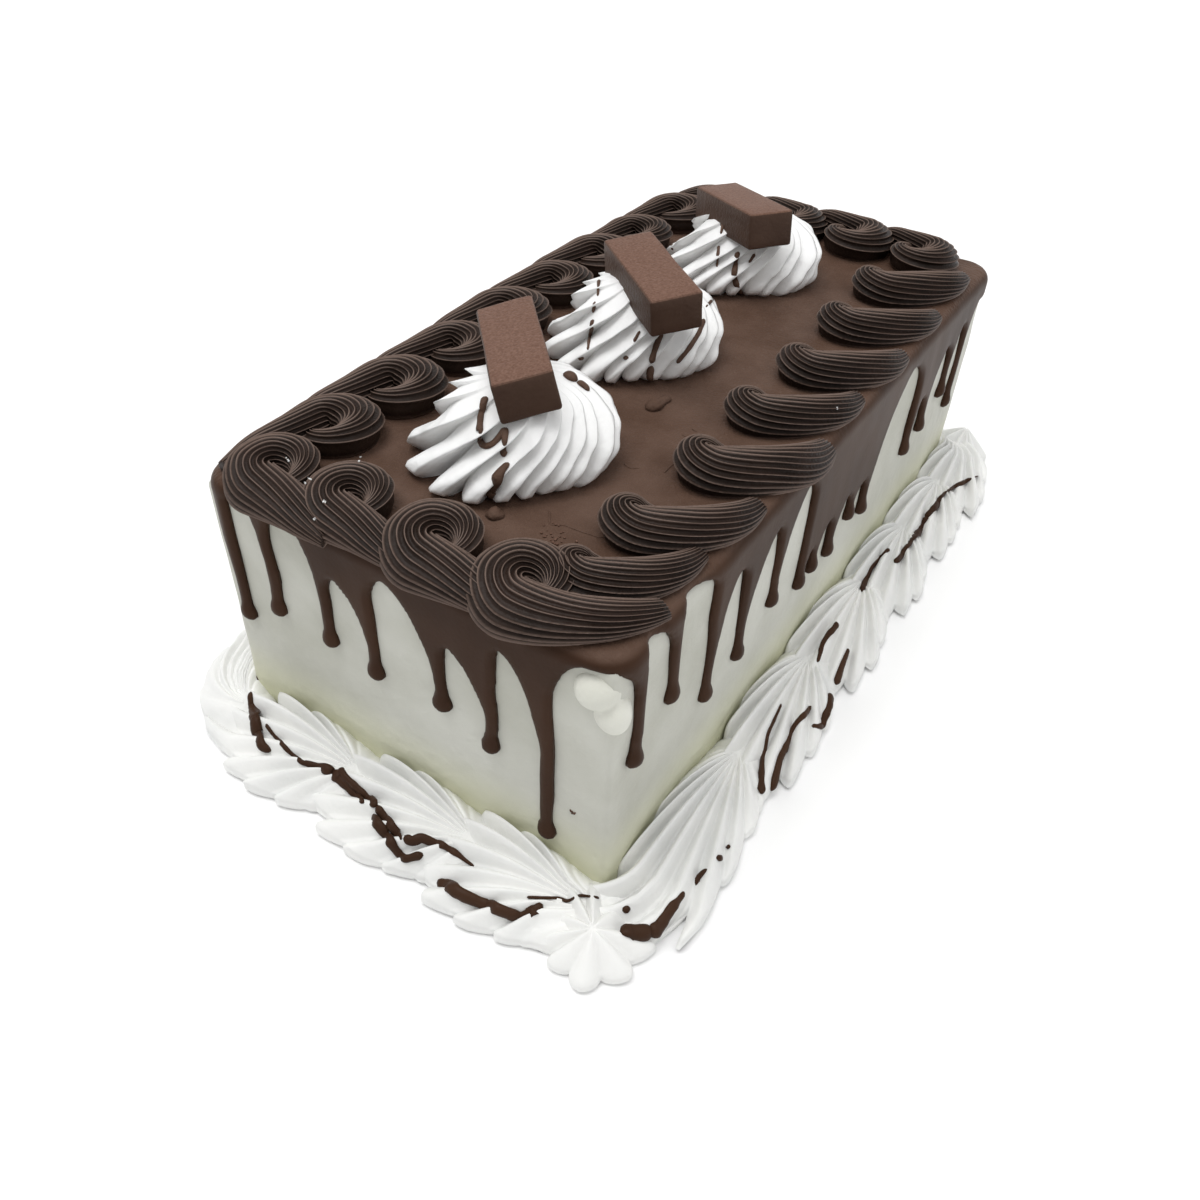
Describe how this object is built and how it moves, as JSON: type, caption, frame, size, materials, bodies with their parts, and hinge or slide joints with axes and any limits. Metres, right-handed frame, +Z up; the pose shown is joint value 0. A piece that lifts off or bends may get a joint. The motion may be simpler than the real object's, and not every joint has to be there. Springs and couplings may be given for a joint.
{
  "type": "ice cream cake",
  "caption": "Loaf-shaped ice cream cake with dripping chocolate glaze, piped chocolate border, cream rosettes with chocolate bars and a cream shell border at its foot.",
  "frame": {"origin": "middle of the whole cake's footprint, on the surface it stands on", "axes": "+X across the short side towards the long wall that shows, +Y along the length away from the short wall that shows, +Z up"},
  "size_m": [0.1954, 0.3395, 0.1326],
  "materials": {
    "frosting": "smooth, satin",
    "glaze": "smooth, satin",
    "piping": "ridged, satin",
    "cream": "smooth, soft",
    "chocolate": "satin, grainy top"
  },
  "bodies": {
    "root": {"cake_loaf": "frosting", "chocolate_glaze": "glaze", "piped_scroll_01": "piping", "piped_scroll_02": "piping", "piped_scroll_03": "piping", "piped_scroll_04": "piping", "piped_scroll_05": "piping", "piped_scroll_06": "piping", "piped_scroll_07": "piping", "piped_scroll_08": "piping", "piped_scroll_09": "piping", "piped_scroll_10": "piping", "piped_scroll_11": "piping", "piped_scroll_12": "piping", "piped_scroll_13": "piping", "piped_scroll_14": "piping", "piped_scroll_15": "piping", "piped_scroll_16": "piping", "piped_scroll_17": "piping", "piped_scroll_18": "piping", "piped_scroll_19": "piping", "piped_scroll_20": "piping", "piped_scroll_21": "piping", "piped_scroll_22": "piping", "piped_scroll_23": "piping", "cream_rosette_1": "cream", "chocolate_bar_1": "chocolate", "cream_rosette_2": "cream", "chocolate_bar_2": "chocolate", "cream_rosette_3": "cream", "chocolate_bar_3": "chocolate", "cream_shell_01": "cream", "cream_shell_02": "cream", "cream_shell_03": "cream", "cream_shell_04": "cream", "cream_shell_05": "cream", "cream_shell_06": "cream", "cream_shell_07": "cream", "cream_shell_08": "cream", "cream_shell_09": "cream", "cream_shell_10": "cream", "cream_shell_11": "cream", "cream_shell_12": "cream", "cream_shell_13": "cream", "cream_shell_14": "cream", "cream_shell_15": "cream", "cream_shell_16": "cream", "cream_shell_17": "cream", "cream_shell_18": "cream", "cream_shell_19": "cream", "cream_star_1": "cream", "cream_star_2": "cream", "cream_star_3": "cream"}
  },
  "joints": []
}
